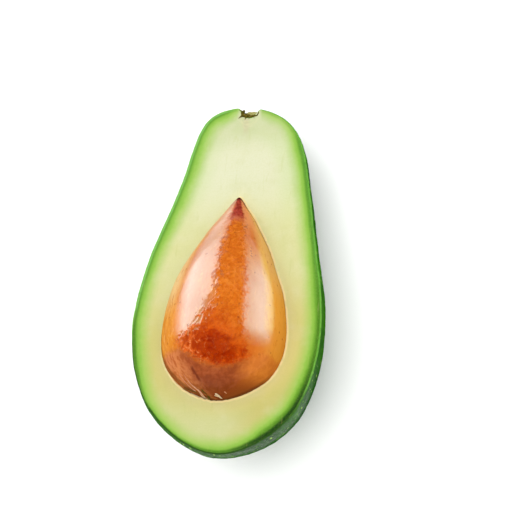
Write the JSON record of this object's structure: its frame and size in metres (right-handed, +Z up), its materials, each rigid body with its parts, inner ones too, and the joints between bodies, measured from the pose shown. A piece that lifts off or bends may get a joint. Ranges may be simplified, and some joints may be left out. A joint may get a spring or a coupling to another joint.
{
  "type": "avocado half",
  "caption": "Pear-shaped green avocado half, cut lengthwise, with its seed in the hollow and the dry stalk stub at the narrow end. It lies on its rounded back, cut face up.",
  "frame": {"origin": "centre of the small flat spot on the rounded back, which the half rests on", "axes": "+Z up out of the cut face, +Y along the fruit towards the stalk end, +X to the right seen from above with the stalk end away"},
  "size_m": [0.0599, 0.1139, 0.0498],
  "materials": {
    "fruit": "moist pale green-yellow flesh, deeper green towards the edge, under a thin glossy dark green pebbled skin",
    "seed": "glossy wet orange-brown seed coat, mottled, darker at the tip",
    "stalk": "dry ragged brown stalk end, matt"
  },
  "bodies": {
    "root": {"fruit_half": "fruit", "seed": "seed", "stalk_stub": "stalk"}
  },
  "joints": []
}
